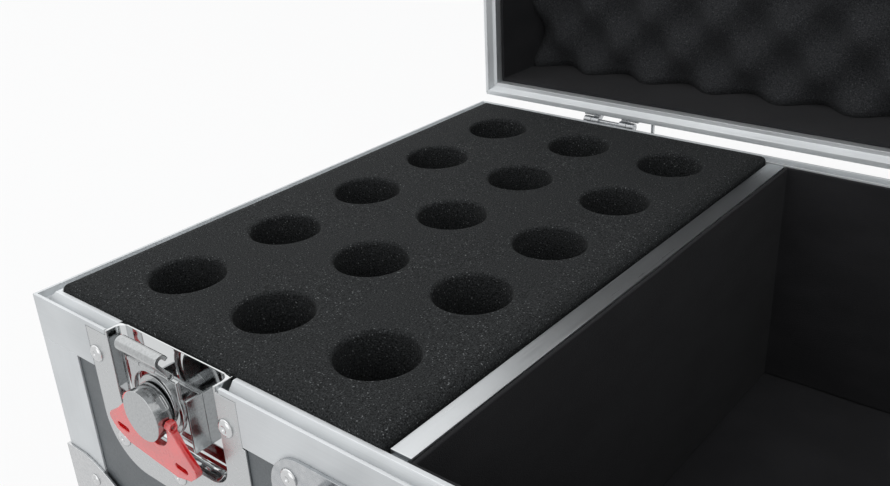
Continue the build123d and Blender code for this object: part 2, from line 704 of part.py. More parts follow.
# Twist spindle: a shaft through the dish, an eccentric disc under the yoke's ring and the
# round head that carries the wing's axles
head = Plane(origin=(0, -SPINDLE_DROP, 0), x_dir=(cos(radians(HEAD_TURN)), sin(radians(HEAD_TURN)), 0))
with BuildPart() as spindle:
    with BuildSketch(head.offset(-SPINDLE_END)):
        Circle(SPINDLE_RADIUS)
    extrude(amount=SPINDLE_END + YOKE_PLANE)
    with BuildSketch(Plane.XY.offset(YOKE_PLANE)):
        with Locations((0, ECCENTRIC_THROW - SPINDLE_DROP)):
            Circle(ECCENTRIC_RADIUS)
    extrude(amount=YOKE_SHEET)
    with BuildSketch(head.offset(YOKE_PLANE + YOKE_SHEET)):
        Circle(HEAD_BOSS_RADIUS)
    extrude(amount=HEAD_PLANE - YOKE_PLANE - YOKE_SHEET)
    with BuildSketch(head.offset(HEAD_PLANE)):
        Circle(HEAD_RADIUS)
    extrude(amount=HEAD_FACE - HEAD_PLANE)
    with BuildSketch(head.offset(HEAD_PLANE + HEAD_SLOT_HEIGHT / 2)):
        with PolarLocations(HEAD_RADIUS, HEAD_SLOTS, start_angle=HEAD_SLOT_ANGLE):
            Rectangle(2 * HEAD_SLOT_DEPTH, HEAD_SLOT_WIDTH)
    extrude(amount=HEAD_SLOT_HEIGHT, mode=Mode.SUBTRACT)
    with BuildSketch(within(head, Plane.YZ)):
        with Locations((0, AXLE_PLANE)):
            Circle(AXLE_RADIUS)
    extrude(amount=AXLE_REACH, both=True)

# Yoke: its ring rides on the eccentric disc and its head carries the hook's pin
YOKE_RISE = ECCENTRIC_THROW - SPINDLE_DROP
RING_HALF_HEIGHT = ECCENTRIC_RADIUS + YOKE_END_FIT
RING_HALF_WIDTH = ECCENTRIC_RADIUS + ECCENTRIC_THROW + YOKE_SIDE_FIT
RING_SPAN = 2 * (RING_HALF_WIDTH - RING_HALF_HEIGHT)
YOKE_HEAD_TOP = -HOOK_PIN_DROP - HOOK_KNUCKLE - HOOK_KNUCKLE_GAP
with BuildPart() as yoke:
    with BuildSketch(Plane.XY.offset(YOKE_PLANE)):
        with Locations((0, YOKE_RISE)):
            SlotCenterToCenter(RING_SPAN, 2 * (RING_HALF_HEIGHT + YOKE_RING))
        with Locations((0, YOKE_HEAD_TOP)):
            Rectangle(
                2 * YOKE_HEAD_HALF, YOKE_HEAD_HEIGHT,
                align=(Align.CENTER, Align.MIN), mode=Mode.SUBTRACT,
            )
            Rectangle(2 * YOKE_HEAD_HALF, YOKE_HEAD_HEIGHT, align=(Align.CENTER, Align.MAX))
        with Locations((0, -HOOK_PIN_DROP)):
            Rectangle(2 * YOKE_KNUCKLE_HALF, HOOK_KNUCKLE + HOOK_KNUCKLE_GAP, align=(Align.CENTER, Align.MAX))
        with Locations((0, YOKE_RISE)):
            SlotCenterToCenter(RING_SPAN, 2 * RING_HALF_HEIGHT, mode=Mode.SUBTRACT)
    extrude(amount=YOKE_SHEET)
    with BuildSketch(Plane.YZ):
        with Locations((-HOOK_PIN_DROP, HOOK_PIN_PLANE)):
            Circle(HOOK_KNUCKLE)
    extrude(amount=YOKE_KNUCKLE_HALF, both=True)
    with BuildSketch(Plane.YZ):
        with Locations((-HOOK_PIN_DROP, HOOK_PIN_PLANE)):
            Circle(HOOK_PIN_RADIUS)
    extrude(amount=HOOK_PIN_HALF, both=True)

# Hook: a bent plate that leans out when open; its downturned end catches the keeper's lip
lean = radians(HOOK_LEAN)
hook_section = Plane(
    origin=(0, -HOOK_PIN_DROP, HOOK_PIN_PLANE), x_dir=(0, -sin(lean), cos(lean)), z_dir=(-1, 0, 0)
)
HOOK_INNER = HOOK_POCKET / 2
HOOK_OUTER = HOOK_POCKET / 2 + HOOK_SHEET
HOOK_AXIS = HOOK_SHEET / 2 - HOOK_OUTER
with BuildPart() as hook:
    with BuildSketch(hook_section):
        with Locations((HOOK_AXIS, HOOK_BEND)):
            Circle(HOOK_OUTER)
        with Locations((HOOK_AXIS, HOOK_LIP_END)):
            Rectangle(2 * HOOK_OUTER, HOOK_OUTER, align=(Align.CENTER, Align.MAX), mode=Mode.SUBTRACT)
        with Locations((HOOK_AXIS, HOOK_BEND)):
            Rectangle(2 * HOOK_OUTER, HOOK_BEND - HOOK_LIP_END, align=(Align.CENTER, Align.MAX))
        Rectangle(HOOK_SHEET, HOOK_BEND, align=(Align.CENTER, Align.MIN))
        with Locations((HOOK_AXIS, HOOK_BEND)):
            Circle(HOOK_INNER, mode=Mode.SUBTRACT)
            Rectangle(2 * HOOK_INNER, HOOK_BEND, align=(Align.CENTER, Align.MAX), mode=Mode.SUBTRACT)
        Circle(HOOK_KNUCKLE)
        Circle(HOOK_PIN_RADIUS + PIN_CLEARANCE, mode=Mode.SUBTRACT)
    extrude(amount=HOOK_HALF, both=True)
    with BuildSketch(hook_section):
        Circle(HOOK_KNUCKLE + HOOK_KNUCKLE_GAP)
    extrude(amount=YOKE_KNUCKLE_HALF + HOOK_KNUCKLE_GAP, both=True, mode=Mode.SUBTRACT)

# Wing: a moulded thumb turn straddling the spindle's head, with a knuckle on each arm
with BuildPart() as wing:
    with BuildSketch(head.offset(WING_PLANE)):
        with BuildLine():
            Polyline(
                (0, WING_ARM_RADIUS), (WING_ARM_HALF, WING_ARM_RADIUS),
                (WING_ARM_HALF, -WING_ARM_RADIUS), WING_SHOULDER, WING_TIP, WING_HEEL,
                (WING_EDGE_HALF, -WING_DROP), (0, -WING_DROP), close=True,
            )
        make_face()
        mirror(about=Plane.YZ)
        fillet(vertices().group_by(Axis.X)[0] + vertices().group_by(Axis.X)[-1], radius=WING_TIP_RADIUS)
        RectangleRounded(2 * WING_NOTCH_HALF, 2 * WING_NOTCH_DROP, WING_NOTCH_CORNER, mode=Mode.SUBTRACT)
        with Locations((-WING_SLOT_X, -WING_SLOT_DROP), (WING_SLOT_X, -WING_SLOT_DROP)):
            SlotOverall(WING_SLOT_LENGTH, WING_SLOT_WIDTH, mode=Mode.SUBTRACT)
    extrude(amount=WING_SHEET)
    with BuildSketch(within(head, Plane.YZ.offset(WING_NOTCH_HALF))):
        with Locations((0, AXLE_PLANE)):
            Circle(WING_ARM_RADIUS)
    extrude(amount=WING_ARM_HALF - WING_NOTCH_HALF)
    mirror(about=within(head, Plane.YZ))
    with BuildSketch(within(head, Plane.YZ)):
        with Locations((0, AXLE_PLANE)):
            Circle(AXLE_RADIUS + PIN_CLEARANCE)
    extrude(amount=WING_ARM_HALF, both=True, mode=Mode.SUBTRACT)

# Each latch has its own set of moving pieces
moving_pieces = {"spindle": spindle, "yoke": yoke, "hook": hook, "wing": wing}
for side_name, centre in LATCHES.items():
    for piece_name, piece in moving_pieces.items():
        with BuildPart() as placed:
            with Locations(latch_plane(BASE_FRAME, centre)):
                add(piece.part)
        save(placed.part, f"{side_name}_latch_{piece_name}")

# Handle plate: a stadium of sheet over the valance, with a raised tray and two pivot lugs
handle_face = side_plane(BASE_FRAME, FRONT, "wall")
TRAY_FACE = HANDLE_SHEET + HANDLE_TRAY_SHEET
with BuildPart() as handle_plate:
    with BuildSketch(handle_face):
        with Locations((0, -HANDLE_DROP)):
            SlotOverall(HANDLE_LENGTH, HANDLE_PLATE_HEIGHT)
    extrude(amount=HANDLE_SHEET)
    with BuildSketch(handle_face):
        with Locations((0, -HANDLE_DROP)):
            SlotOverall(HANDLE_TRAY_LENGTH, HANDLE_TRAY_HEIGHT)
    extrude(amount=TRAY_FACE)
    with BuildSketch(handle_face):
        with Locations((0, -VALANCE - FIT)):
            Rectangle(
                HANDLE_TRAY_LENGTH, HANDLE_DROP + HANDLE_PLATE_HEIGHT / 2 - VALANCE - FIT,
                align=(Align.CENTER, Align.MAX),
            )
    extrude(amount=-SKIN)
    with BuildSketch(within(handle_face, Plane.YZ.offset(LUG_X - LUG_SHEET / 2))):
        with Locations((-BAIL_DROP, BAIL_PLANE)):
            Circle(LUG_RADIUS)
        with Locations((-BAIL_DROP, 0)):
            Rectangle(2 * LUG_RADIUS, BAIL_PLANE, align=(Align.CENTER, Align.MIN))
        with Locations((-BAIL_DROP, BAIL_PLANE)):
            Circle(BAIL_RADIUS + BAIL_CLEARANCE, mode=Mode.SUBTRACT)
    extrude(amount=LUG_SHEET)
    mirror(about=Plane.YZ)
save(handle_plate.part, "handle_plate")

# Bail: a round bar bent to a U, its ends turned out through the lugs
BAIL_END_X = LUG_X + LUG_SHEET
with BuildPart() as handle_bail:
    with BuildLine(handle_face.offset(BAIL_PLANE)) as bail_route:
        FilletPolyline(
            (-BAIL_END_X, -BAIL_DROP), (-BAIL_LEG_X, -BAIL_DROP),
            (-BAIL_LEG_X, -BAIL_DROP - BAIL_LEG_LENGTH), (BAIL_LEG_X, -BAIL_DROP - BAIL_LEG_LENGTH),
            (BAIL_LEG_X, -BAIL_DROP), (BAIL_END_X, -BAIL_DROP), radius=BAIL_BEND / 2,
        )
    with BuildSketch(bail_route.line ^ 0):
        Circle(BAIL_RADIUS)
    sweep()
save(handle_bail.part, "handle_bail")

# Grip: a soft sleeve round the bar
with BuildPart() as handle_grip:
    with BuildSketch(within(handle_face, Plane.YZ)):
        with Locations((-BAIL_DROP - BAIL_LEG_LENGTH, BAIL_PLANE)):
            Ellipse(GRIP_HALF_HEIGHT, GRIP_HALF_DEPTH)
            Circle(BAIL_RADIUS, mode=Mode.SUBTRACT)
    extrude(amount=GRIP_LENGTH / 2, both=True)
save(handle_grip.part, "handle_grip")

# Divider: a panel across the base with a channel cap along its top edge
DIVIDER_LENGTH = CASE_DEPTH - 2 * (WALL + DIVIDER_FIT)
CAP_LENGTH = CASE_DEPTH - 2 * (WALL + DIVIDER_CAP_END)
divider_frame = within(BASE_FRAME, Plane(origin=(DIVIDER_X, 0, 0)))
with BuildPart() as divider_panel:
    with BuildSketch(divider_frame.offset(FLOOR_TOP)):
        Rectangle(PANEL, DIVIDER_LENGTH)
    extrude(amount=-FLOOR_TOP - SKIN)
save(divider_panel.part, "divider_panel")

with BuildPart() as divider_cap:
    with BuildSketch(divider_frame.offset(-DIVIDER_CAP_LEG)):
        Rectangle(WALL, CAP_LENGTH)
    extrude(amount=DIVIDER_CAP_LEG)
    with BuildSketch(divider_frame.offset(-DIVIDER_CAP_LEG)):
        Rectangle(PANEL, CAP_LENGTH)
    extrude(amount=DIVIDER_CAP_LEG - SKIN, mode=Mode.SUBTRACT)
save(divider_cap.part, "divider_cap")

# Drop foam: a block bored for fifteen microphones, on a softer pad
FOAM_LENGTH = CASE_DEPTH - 2 * (WALL + FIT)
FOAM_FLOOR = FOAM_CROWN - HOLE_DEPTH
foam_frame = within(BASE_FRAME, Plane(origin=(FOAM_LEFT + FOAM_WIDTH / 2, 0, 0)))
HOLES_X = (HOLE_EDGE - HOLE_DIVIDER_EDGE) / 2
with BuildPart() as drop_foam:
    with BuildSketch(foam_frame.offset(FOAM_FLOOR)):
        Rectangle(FOAM_WIDTH, FOAM_LENGTH)
        with Locations((HOLES_X, HOLE_SHIFT)):
            with GridLocations(HOLE_PITCH_X, HOLE_PITCH_Y, HOLE_COLUMNS, HOLE_ROWS):
                Circle(HOLE_RADIUS, mode=Mode.SUBTRACT)
    extrude(amount=HOLE_DEPTH)
save(drop_foam.part, "drop_foam")

with BuildPart() as drop_foam_pad:
    with BuildSketch(foam_frame.offset(FLOOR_TOP + FIT)):
        Rectangle(FOAM_WIDTH, FOAM_LENGTH)
    extrude(amount=FOAM_FLOOR - FLOOR_TOP - 2 * FIT)
save(drop_foam_pad.part, "drop_foam_pad")

# Store: a pad on the floor and a thin lining round the four walls
STORE_LEFT = DIVIDER_X + WALL / 2 + LINING_FIT
STORE_RIGHT = CASE_WIDTH / 2 - WALL - LINING_FIT
STORE_WIDTH = STORE_RIGHT - STORE_LEFT
STORE_LENGTH = CASE_DEPTH - 2 * (WALL + LINING_FIT)
PAD_TOP = FLOOR_TOP + FIT + STORE_PAD
store_frame = within(BASE_FRAME, Plane(origin=((STORE_LEFT + STORE_RIGHT) / 2, 0, 0)))
with BuildPart() as storage_floor_pad:
    with BuildSketch(store_frame.offset(FLOOR_TOP + FIT)):
        Rectangle(STORE_WIDTH, STORE_LENGTH)
    extrude(amount=STORE_PAD)
save(storage_floor_pad.part, "storage_floor_pad")

with BuildPart() as storage_wall_lining:
    with BuildSketch(store_frame.offset(PAD_TOP + FIT)):
        Rectangle(STORE_WIDTH, STORE_LENGTH)
        Rectangle(STORE_WIDTH - 2 * LINING, STORE_LENGTH - 2 * LINING, mode=Mode.SUBTRACT)
    extrude(amount=-LINING_DROP - PAD_TOP - FIT)
save(storage_wall_lining.part, "storage_wall_lining")

# Lid lining, clear of the bored foam's crown
LID_INNER_WIDTH = CASE_WIDTH - 2 * (WALL + LINING_FIT)
LID_INNER_DEPTH = CASE_DEPTH - 2 * (WALL + LINING_FIT)
with BuildPart() as lid_wall_lining:
    with BuildSketch(LID_FRAME.offset(FOAM_CROWN + LINING_DROP)):
        Rectangle(LID_INNER_WIDTH, LID_INNER_DEPTH)
        Rectangle(LID_INNER_WIDTH - 2 * LINING, LID_INNER_DEPTH - 2 * LINING, mode=Mode.SUBTRACT)
    extrude(amount=LID_CEILING - FOAM_CROWN - LINING_DROP - FIT)
save(lid_wall_lining.part, "lid_wall_lining")

# Egg-crate foam: square peaks stand on the slab in two staggered grids, cut off at its edges
CRATE_WIDTH = LID_INNER_WIDTH - 2 * (LINING + FIT)
CRATE_DEPTH = LID_INNER_DEPTH - 2 * (LINING + FIT)
CRATE_PITCH_X = CRATE_WIDTH / CRATE_COLUMNS
CRATE_PITCH_Y = CRATE_DEPTH / CRATE_ROWS
crate_foot = LID_FRAME.offset(LID_FOAM_FACE + CRATE_HEIGHT)
peak_face = Plane(origin=crate_foot.origin, x_dir=crate_foot.x_dir, z_dir=-crate_foot.z_dir)
peak_half_x = CRATE_PITCH_X / 2 - CRATE_FOOT
peak_half_y = CRATE_PITCH_Y / 2 - CRATE_FOOT
with BuildPart() as lid_foam:
    with BuildSketch(peak_face):
        for column_offset, row_offset in ((0, 0), (1, 1)):
            with GridLocations(
                CRATE_PITCH_X, CRATE_PITCH_Y, CRATE_COLUMNS + 1 - column_offset, CRATE_ROWS + 1 - row_offset
            ):
                Polygon((peak_half_x, 0), (0, peak_half_y), (-peak_half_x, 0), (0, -peak_half_y))
    extrude(amount=CRATE_HEIGHT, taper=CRATE_TAPER)
    with BuildSketch(crate_foot):
        Rectangle(CRATE_WIDTH, CRATE_DEPTH)
    extrude(amount=-CRATE_HEIGHT, mode=Mode.INTERSECT)
    with BuildSketch(crate_foot):
        Rectangle(CRATE_WIDTH, CRATE_DEPTH)
    extrude(amount=LID_CEILING - LID_FOAM_FACE - CRATE_HEIGHT - FIT)
save(lid_foam.part, "lid_foam")


def rivet_heads(radius, height, places):
    """Domed rivet heads standing on the given planes."""
    with BuildPart() as head_form:
        Cylinder(radius, height, align=(Align.CENTER, Align.CENTER, Align.MIN))
        chamfer(edges().group_by(Axis.Z)[-1], length=height / 2)
    with BuildPart() as heads:
        with Locations(*places):
            add(head_form.part)
    return heads.part


def spots(planes, level, points):
    """A plane at each point of each plane, raised to this level."""
    return [within(plane, Plane(origin=(x, y, level))) for plane in planes for x, y in points]


def corner_rivets(frame, level, into):
    """Two rivets through every face plate of the four ball corners."""
    outsides = [
        within(face, Plane(origin=(0, 0, -CORNER_SHEET), x_dir=(1, 0, 0), z_dir=(0, 0, -1)))
        for face in corner_planes(frame, level, into)
    ]
    points = [(CORNER_RIVET_SIDE, -CORNER_RIVET_END), (CORNER_RIVET_END, -CORNER_RIVET_SIDE)]
    with BuildPart() as rivets:
        add(rivet_heads(SMALL_RIVET_RADIUS, SMALL_RIVET_HEIGHT, spots(outsides, 0, points)))
        mirror(about=within(frame, Plane.YZ))
        mirror(about=within(frame, Plane.XZ))
    return rivets.part


HANDLE_RIVETS = [
    (x, y - HANDLE_DROP) for x in (-HANDLE_RIVET_X, HANDLE_RIVET_X) for y in (-HANDLE_RIVET_Y, HANDLE_RIVET_Y)
]
large_base_places = spots(base_latch_planes, 0, DISH_RIVETS) + spots(
    [handle_face], HANDLE_SHEET, HANDLE_RIVETS
)
small_base_places = spots(base_latch_planes, GUIDE_SHEET - POCKET_DEPTH, GUIDE_RIVETS) + spots(
    hinge_planes(BASE_FRAME), LEAF_SHEET, [(x, -y) for x, y in LEAF_RIVETS]
)
small_lid_places = spots(lid_latch_planes, KEEPER_SHEET - POCKET_DEPTH, KEEPER_PLATE_RIVETS) + spots(
    hinge_planes(LID_FRAME), LEAF_SHEET, LEAF_RIVETS
)

with BuildPart() as base_rivets:
    add(rivet_heads(RIVET_RADIUS, RIVET_HEIGHT, large_base_places))
    add(rivet_heads(SMALL_RIVET_RADIUS, SMALL_RIVET_HEIGHT, small_base_places))
    add(corner_rivets(BASE_FRAME, -BASE_HEIGHT, 1))
save(base_rivets.part, "base_rivets")

with BuildPart() as lid_rivets:
    add(rivet_heads(RIVET_RADIUS, RIVET_HEIGHT, spots(lid_latch_planes, 0, KEEPER_RIVETS)))
    add(rivet_heads(SMALL_RIVET_RADIUS, SMALL_RIVET_HEIGHT, small_lid_places))
    add(corner_rivets(LID_FRAME, LID_HEIGHT, -1))
save(lid_rivets.part, "lid_rivets")
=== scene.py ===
# A hard microphone case with its lid open: aluminium edge extrusions round laminated plywood,
# two recessed twist latches, bored charcoal foam and a lined store.
from math import cos, pi, radians

import bmesh
import bpy
from mathutils import Matrix, Vector, noise


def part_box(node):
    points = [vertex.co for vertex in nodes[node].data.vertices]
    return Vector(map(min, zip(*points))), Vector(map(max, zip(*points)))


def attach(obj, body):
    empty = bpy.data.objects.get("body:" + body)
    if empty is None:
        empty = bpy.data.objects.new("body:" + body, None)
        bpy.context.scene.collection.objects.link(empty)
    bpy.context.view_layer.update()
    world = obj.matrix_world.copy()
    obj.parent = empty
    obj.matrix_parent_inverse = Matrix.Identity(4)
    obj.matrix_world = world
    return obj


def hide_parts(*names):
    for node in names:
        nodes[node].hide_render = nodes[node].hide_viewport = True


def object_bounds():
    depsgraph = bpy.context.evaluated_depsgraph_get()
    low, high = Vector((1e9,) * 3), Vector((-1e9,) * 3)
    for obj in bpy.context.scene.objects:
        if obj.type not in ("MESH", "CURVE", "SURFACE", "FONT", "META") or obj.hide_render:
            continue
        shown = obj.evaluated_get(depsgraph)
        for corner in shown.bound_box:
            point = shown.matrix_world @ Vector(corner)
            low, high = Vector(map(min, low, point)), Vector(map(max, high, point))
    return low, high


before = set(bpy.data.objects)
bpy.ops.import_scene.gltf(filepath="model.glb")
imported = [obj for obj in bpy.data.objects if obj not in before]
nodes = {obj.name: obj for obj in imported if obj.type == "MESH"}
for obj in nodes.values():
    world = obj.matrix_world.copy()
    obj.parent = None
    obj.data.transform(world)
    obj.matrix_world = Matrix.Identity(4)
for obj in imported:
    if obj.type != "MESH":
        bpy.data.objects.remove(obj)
case_box = [list(corner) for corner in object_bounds()]

# ---------------------------------------------------------------------------------------------
# The camera stands in front of the case and to its right, looking down over the front latch
# and the foam towards the foot of the lid. Its frame is 890 by 486.
EYE = (0.1637, -0.3863, 0.3621)
AZIMUTH = 40.45
ELEVATION = 25.5
ROLL = -2.92
SENSOR = 36.0
FOCAL_PIXELS = 967.3
FRAME_PIXELS = 890
CLIP_START = 0.02
camera_data = bpy.data.cameras.new("camera")
camera_data.sensor_width = SENSOR
camera_data.lens = SENSOR * FOCAL_PIXELS / FRAME_PIXELS
camera_data.clip_start = CLIP_START
camera = bpy.data.objects.new("camera", camera_data)
bpy.context.collection.objects.link(camera)
turn = Matrix.Rotation(radians(AZIMUTH), 4, "Z") @ Matrix.Rotation(radians(90 - ELEVATION), 4, "X")
camera.matrix_world = Matrix.Translation(EYE) @ turn @ Matrix.Rotation(radians(ROLL), 4, "Z")
bpy.context.scene.camera = camera

# ---------------------------------------------------------------------------------------------
# The studio: a wide white floor, an even pale surround that the camera and bright metal see as
# plain white, and three large soft lamps, to the left, overhead and in front.
bpy.context.scene.view_settings.view_transform = "Standard"


def paint(red, green, blue):
    """A colour written as it looks on a screen, 0 to 255, in the values that Blender mixes."""
    screen = [value / 255 for value in (red, green, blue)]
    return [
        value / 12.92 if value < 0.04045 else ((value + 0.055) / 1.055) ** 2.4
        for value in screen
    ]


def seen_rays(tree):
    """One for what the camera, a mirror or clear glass sees, and none for other light."""
    path = tree.nodes.new("ShaderNodeLightPath")
    total = path.outputs["Is Camera Ray"]
    for kind in ("Is Glossy Ray", "Is Transmission Ray"):
        either = tree.nodes.new("ShaderNodeMath")
        either.operation = "MAXIMUM"
        tree.links.new(total, either.inputs[0])
        tree.links.new(path.outputs[kind], either.inputs[1])
        total = either.outputs[0]
    return total


FLOOR_SIZE = 24.0
FLOOR_WHITE = paint(250, 250, 251)
FLOOR_SHARE = 0.85
FLOOR_ROUGHNESS = 0.9
SURROUND = paint(236, 238, 240)
SURROUND_LEVEL = 0.62
LAMPS = {
    "side_lamp": {"place": (-1.9, -0.1, 1.5), "size": 2.8, "power": 9.0},
    "top_lamp": {"place": (-0.2, -0.1, 2.3), "size": 2.0, "power": 12.0},
    "front_lamp": {"place": (0.3, -2.1, 1.0), "size": 1.8, "power": 8.0},
}

floor_shape = bmesh.new()
bmesh.ops.create_grid(floor_shape, x_segments=2, y_segments=2, size=FLOOR_SIZE / 2)
floor_mesh = bpy.data.meshes.new("floor")
floor_shape.to_mesh(floor_mesh)
floor_shape.free()
floor = bpy.data.objects.new("floor", floor_mesh)
bpy.context.collection.objects.link(floor)

floor_paint = bpy.data.materials.new("floor_white")
floor_paint.use_nodes = True
tree = floor_paint.node_tree
floor_shader = tree.nodes["Principled BSDF"]
floor_shader.inputs["Base Color"].default_value = (*FLOOR_WHITE, 1)
floor_shader.inputs["Roughness"].default_value = FLOOR_ROUGHNESS
glow = tree.nodes.new("ShaderNodeEmission")
share = tree.nodes.new("ShaderNodeMath")
share.operation = "MULTIPLY"
share.inputs[1].default_value = FLOOR_SHARE
blend = tree.nodes.new("ShaderNodeMixShader")
tree.links.new(seen_rays(tree), share.inputs[0])
tree.links.new(share.outputs[0], blend.inputs["Fac"])
tree.links.new(floor_shader.outputs[0], blend.inputs[1])
tree.links.new(glow.outputs[0], blend.inputs[2])
tree.links.new(blend.outputs[0], tree.nodes["Material Output"].inputs["Surface"])
floor_mesh.materials.append(floor_paint)

world = bpy.data.worlds.new("studio")
world.use_nodes = True
bpy.context.scene.world = world
tree = world.node_tree
surround = tree.nodes["Background"]
surround.inputs["Color"].default_value = (*SURROUND, 1)
surround.inputs["Strength"].default_value = SURROUND_LEVEL
white = tree.nodes.new("ShaderNodeBackground")
white.inputs["Color"].default_value = (1, 1, 1, 1)
blend = tree.nodes.new("ShaderNodeMixShader")
tree.links.new(seen_rays(tree), blend.inputs["Fac"])
tree.links.new(surround.outputs[0], blend.inputs[1])
tree.links.new(white.outputs[0], blend.inputs[2])
tree.links.new(blend.outputs[0], tree.nodes["World Output"].inputs["Surface"])

case_middle = (Vector(case_box[0]) + Vector(case_box[1])) / 2
for name, lamp in LAMPS.items():
    light = bpy.data.lights.new(name, "AREA")
    light.size = lamp["size"]
    light.energy = lamp["power"]
    light_object = bpy.data.objects.new(name, light)
    bpy.context.collection.objects.link(light_object)
    aim = case_middle - Vector(lamp["place"])
    turned = aim.to_track_quat("-Z", "Y").to_matrix().to_4x4()
    light_object.matrix_world = Matrix.Translation(lamp["place"]) @ turned

# ---------------------------------------------------------------------------------------------
# Edge extrusions, floor and top angles, and the divider's cap: satin anodised aluminium, drawn
# along its length, so fine lines run the length of each bar. The panels stand in the channels.
NOISE_BAND = (0.3, 0.7)
MIDDLE_BAND = (0.35, 0.65)
WELD_REACH = 0.00001
FLAT_BELOW = radians(1)
EDGE_ABOVE = radians(35)
EDGE_SEGMENTS = 2
LARGE_FACE_WEIGHT = 60


def finish(name, colour, roughness, metallic=0.0):
    """A new material whose shader starts from one colour and one roughness."""
    made = bpy.data.materials.new(name)
    made.use_nodes = True
    shader = made.node_tree.nodes["Principled BSDF"]
    shader.inputs["Base Color"].default_value = (*colour, 1)
    shader.inputs["Roughness"].default_value = roughness
    shader.inputs["Metallic"].default_value = metallic
    return made


def grain(made, per_metre, detail=3.0, roughness=0.5, pattern="noise"):
    """An uneven pattern in the piece's own space, as waves to the metre, all ways or each way."""
    scale = [per_metre] * 3 if isinstance(per_metre, (int, float)) else per_metre
    tree = made.node_tree
    place = tree.nodes.new("ShaderNodeTexCoord")
    mapping = tree.nodes.new("ShaderNodeMapping")
    mapping.inputs["Scale"].default_value = scale
    tree.links.new(place.outputs["Object"], mapping.inputs["Vector"])
    if pattern == "cells":
        cells = tree.nodes.new("ShaderNodeTexVoronoi")
        cells.inputs["Scale"].default_value = 1.0
        tree.links.new(mapping.outputs["Vector"], cells.inputs["Vector"])
        return cells.outputs["Distance"]
    waves = tree.nodes.new("ShaderNodeTexNoise")
    waves.inputs["Scale"].default_value = 1.0
    waves.inputs["Detail"].default_value = detail
    waves.inputs["Roughness"].default_value = roughness
    tree.links.new(mapping.outputs["Vector"], waves.inputs["Vector"])
    return waves.outputs["Fac"]


def spread(made, value, band, start=0, end=1):
    """The part of a value that lies in a band, spread out from start to end."""
    tree = made.node_tree
    node = tree.nodes.new("ShaderNodeMapRange")
    node.inputs["From Min"].default_value = band[0]
    node.inputs["From Max"].default_value = band[1]
    node.inputs["To Min"].default_value = start
    node.inputs["To Max"].default_value = end
    tree.links.new(value, node.inputs["Value"])
    return node.outputs["Result"]


def shade(made, value, dark, light):
    """Two colours mixed by a value from 0 to 1, as the shader's colour."""
    tree = made.node_tree
    mix = tree.nodes.new("ShaderNodeMix")
    mix.data_type = "RGBA"
    mix.inputs["A"].default_value = (*dark, 1)
    mix.inputs["B"].default_value = (*light, 1)
    tree.links.new(value, mix.inputs["Factor"])
    tree.links.new(mix.outputs["Result"], tree.nodes["Principled BSDF"].inputs["Base Color"])


def polish(made, value):
    """A value for the shader's roughness."""
    made.node_tree.links.new(value, made.node_tree.nodes["Principled BSDF"].inputs["Roughness"])


def relief(made, height, depth):
    """Small heights, in metres, added to whatever relief the material has."""
    tree = made.node_tree
    shader = tree.nodes["Principled BSDF"]
    bump = tree.nodes.new("ShaderNodeBump")
    bump.inputs["Strength"].default_value = 1.0
    bump.inputs["Distance"].default_value = depth
    if shader.inputs["Normal"].is_linked:
        tree.links.new(shader.inputs["Normal"].links[0].from_socket, bump.inputs["Normal"])
    tree.links.new(height, bump.inputs["Height"])
    tree.links.new(bump.outputs["Normal"], shader.inputs["Normal"])


def dress(node, made, edge):
    """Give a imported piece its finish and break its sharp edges."""
    piece = nodes[node]
    for slot in piece.material_slots:
        slot.material = made
    weld = piece.modifiers.new("joined_facets", "WELD")
    weld.merge_threshold = WELD_REACH
    flat = piece.modifiers.new("flat_faces", "DECIMATE")
    flat.decimate_type = "DISSOLVE"
    flat.angle_limit = FLAT_BELOW
    broken = piece.modifiers.new("broken_edge", "BEVEL")
    broken.width = edge
    broken.segments = EDGE_SEGMENTS
    broken.limit_method = "ANGLE"
    broken.angle_limit = EDGE_ABOVE
    broken.use_clamp_overlap = False
    shading = piece.modifiers.new("even_shading", "WEIGHTED_NORMAL")
    shading.weight = LARGE_FACE_WEIGHT


ALUMINIUM = paint(212, 215, 217)
ALUMINIUM_DULL = paint(201, 204, 206)
EXTRUSION_EDGE = 0.00025
DRAWN_LINES = 2600
DRAWN_LENGTH = 14
DRAWN_DEPTH = 0.000012
ANODISE_CLOUDS = 22
RAIL_DULL = 0.58
CAP_DULL = 0.34
POLISH_SPREAD = 0.07


def drawn_aluminium(name, along, dull):
    """Anodised aluminium with its die lines along one axis, and how dull it is."""
    made = finish(name, ALUMINIUM, dull, metallic=1.0)
    lines = grain(made, [DRAWN_LENGTH if axis == along else DRAWN_LINES for axis in "XYZ"])
    clouds = grain(made, ANODISE_CLOUDS, detail=5)
    shade(made, spread(made, clouds, MIDDLE_BAND), ALUMINIUM_DULL, ALUMINIUM)
    polish(made, spread(made, lines, NOISE_BAND, dull - POLISH_SPREAD, dull + POLISH_SPREAD))
    relief(made, lines, DRAWN_DEPTH)
    return made


DRAWN_ALONG = {
    "X": (
        "base_front_rail", "base_rear_rail", "lid_front_rail", "lid_rear_rail",
        "base_floor_angles", "lid_top_angles",
    ),
    "Y": ("base_left_rail", "base_right_rail", "lid_corner_angles"),
    "Z": ("lid_left_rail", "lid_right_rail", "base_corner_angles"),
}
for axis, bars in DRAWN_ALONG.items():
    drawn = drawn_aluminium(f"aluminium_along_{axis.lower()}", axis, RAIL_DULL)
    for node in bars:
        dress(node, drawn, EXTRUSION_EDGE)
dress("divider_cap", drawn_aluminium("cap_aluminium", "Y", CAP_DULL), EXTRUSION_EDGE)

